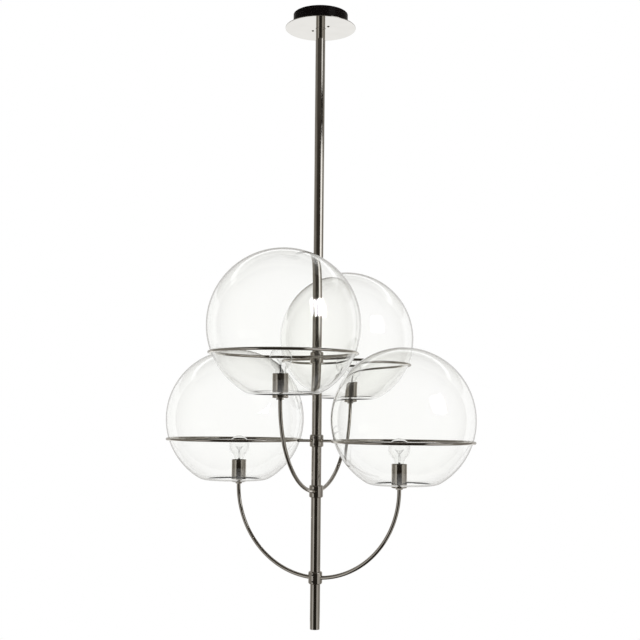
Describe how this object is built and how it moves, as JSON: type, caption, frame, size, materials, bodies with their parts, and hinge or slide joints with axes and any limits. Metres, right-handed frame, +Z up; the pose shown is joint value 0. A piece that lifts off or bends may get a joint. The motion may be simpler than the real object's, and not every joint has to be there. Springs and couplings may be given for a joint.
{
  "type": "pendant light",
  "caption": "Rod-hung pendant light: clear glass globes, open below, rest in thin metal rings in crossed tiers, with a lamp on a curved tube inside each globe.",
  "frame": {"origin": "on the ceiling plane, at the centre of the ceiling plate's top face, which is also the stem's axis", "axes": "+Z up along the stem; the lower pair of globes lies along X, the upper pair along Y"},
  "size_m": [0.907, 0.9162, 1.761],
  "materials": {
    "polished_nickel": "polished nickel plating",
    "black_lacquer": "black lacquer on steel",
    "mirror_disc": "mirror-polished nickel plating",
    "zinced_steel": "zinc-plated",
    "clear_glass": "clear, blown",
    "porcelain": "glazed ceramic",
    "brass": "plain turned and pressed brass",
    "bulb_cap": "bright pressed aluminium",
    "wire": "drawn wire on a glass mount",
    "cable_sheath": "extruded sheath",
    "nylon": "moulded"
  },
  "bodies": {
    "frame": {"ceiling_plate": "zinced_steel", "hanger_yoke": "zinced_steel", "yoke_screw_left": "zinced_steel", "yoke_screw_right": "zinced_steel", "terminal_block": "nylon", "mains_cable": "cable_sheath", "hanger_nipple": "brass", "hanger_nut": "brass", "stem_top_bush": "brass", "stem_tube": "polished_nickel", "stem_end_plug": "polished_nickel", "upper_ring_collar": "polished_nickel", "lower_ring_collar": "polished_nickel", "upper_arm_collar": "polished_nickel", "lower_arm_collar": "polished_nickel", "ring_right": "polished_nickel", "ring_left": "polished_nickel", "ring_front": "polished_nickel", "ring_back": "polished_nickel", "arm_right": "polished_nickel", "arm_left": "polished_nickel", "arm_front": "polished_nickel", "arm_back": "polished_nickel", "lamp_lead_right": "cable_sheath", "lamp_lead_left": "cable_sheath", "lamp_lead_front": "cable_sheath", "lamp_lead_back": "cable_sheath", "holder_cover_right": "polished_nickel", "holder_cover_left": "polished_nickel", "holder_cover_front": "polished_nickel", "holder_cover_back": "polished_nickel", "holder_insert_right": "porcelain", "holder_insert_left": "porcelain", "holder_insert_front": "porcelain", "holder_insert_back": "porcelain", "holder_shell_right": "brass", "holder_shell_left": "brass", "holder_shell_front": "brass", "holder_shell_back": "brass"},
    "canopy": {"canopy_cup": "black_lacquer", "canopy_disc": "mirror_disc", "canopy_screw_left": "polished_nickel", "canopy_screw_right": "polished_nickel"},
    "globe_right": {"globe_right": "clear_glass"},
    "globe_left": {"globe_left": "clear_glass"},
    "globe_front": {"globe_front": "clear_glass"},
    "globe_back": {"globe_back": "clear_glass"},
    "bulb_right": {"bulb_cap_right": "bulb_cap", "bulb_glass_right": "clear_glass", "bulb_mount_right": "wire"},
    "bulb_left": {"bulb_cap_left": "bulb_cap", "bulb_glass_left": "clear_glass", "bulb_mount_left": "wire"},
    "bulb_front": {"bulb_cap_front": "bulb_cap", "bulb_glass_front": "clear_glass", "bulb_mount_front": "wire"},
    "bulb_back": {"bulb_cap_back": "bulb_cap", "bulb_glass_back": "clear_glass", "bulb_mount_back": "wire"}
  },
  "joints": [
    {"name": "canopy_drop", "type": "slide", "parent": "frame", "child": "canopy", "axis": [0, 0, -1], "range_m": [0, 0.5]},
    {"name": "globe_right_lift", "type": "slide", "parent": "frame", "child": "globe_right", "axis": [0, 0, 1], "range_m": [0, 0.045]},
    {"name": "globe_left_lift", "type": "slide", "parent": "frame", "child": "globe_left", "axis": [0, 0, 1], "range_m": [0, 0.045]},
    {"name": "globe_front_lift", "type": "slide", "parent": "frame", "child": "globe_front", "axis": [0, 0, 1], "range_m": [0, 0.15]},
    {"name": "globe_back_lift", "type": "slide", "parent": "frame", "child": "globe_back", "axis": [0, 0, 1], "range_m": [0, 0.15]},
    {"name": "bulb_right_out", "type": "slide", "parent": "frame", "child": "bulb_right", "axis": [0, 0, 1], "range_m": [0, 0.03]},
    {"name": "bulb_left_out", "type": "slide", "parent": "frame", "child": "bulb_left", "axis": [0, 0, 1], "range_m": [0, 0.03]},
    {"name": "bulb_front_out", "type": "slide", "parent": "frame", "child": "bulb_front", "axis": [0, 0, 1], "range_m": [0, 0.03]},
    {"name": "bulb_back_out", "type": "slide", "parent": "frame", "child": "bulb_back", "axis": [0, 0, 1], "range_m": [0, 0.03]}
  ]
}
